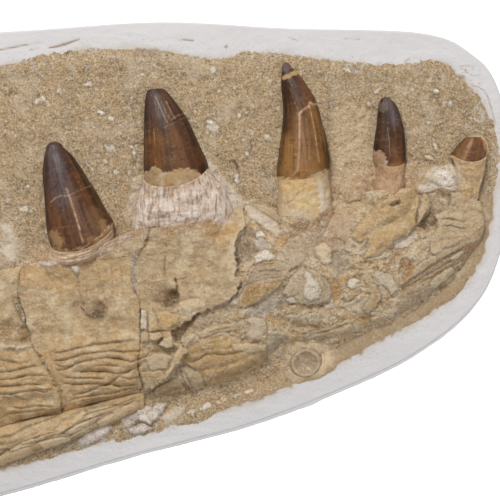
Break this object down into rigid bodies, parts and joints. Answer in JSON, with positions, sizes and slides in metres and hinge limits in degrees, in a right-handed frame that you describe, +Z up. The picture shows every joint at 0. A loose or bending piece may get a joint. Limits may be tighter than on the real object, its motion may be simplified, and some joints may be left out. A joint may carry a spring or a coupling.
{
  "type": "fossil mosasaur jaw",
  "caption": "Toothed lower jaw bone of a marine reptile, seen from its outer side, set in a slab of phosphate sandstone inside a long white plaster jacket that lies flat on its back.",
  "frame": {"origin": "middle of the block's box, on the floor that its flat back lies on", "axes": "+X along the jaw to its front end, +Y to the tooth tips, +Z up out of the shown face"},
  "size_m": [0.4859, 0.216, 0.0588],
  "materials": {
    "plaster": "matt white plaster with sandy dust",
    "phosphate_sandstone": "rough sandy rock with pale bone grit",
    "fossil_bone": "smooth tan fossil bone, cracked and wrinkled",
    "fish_bone": "smooth tan fossil bone",
    "tooth_enamel": "glossy dark brown enamel, paler to the foot"
  },
  "bodies": {
    "root": {"plaster_jacket": "plaster", "rock_matrix": "phosphate_sandstone", "splenial": "fossil_bone", "fish_vertebra": "fish_bone", "dentary_rear": "fossil_bone", "dentary_middle_rear": "fossil_bone", "dentary_middle_front": "fossil_bone", "dentary_front": "fossil_bone"}
  },
  "joints": []
}
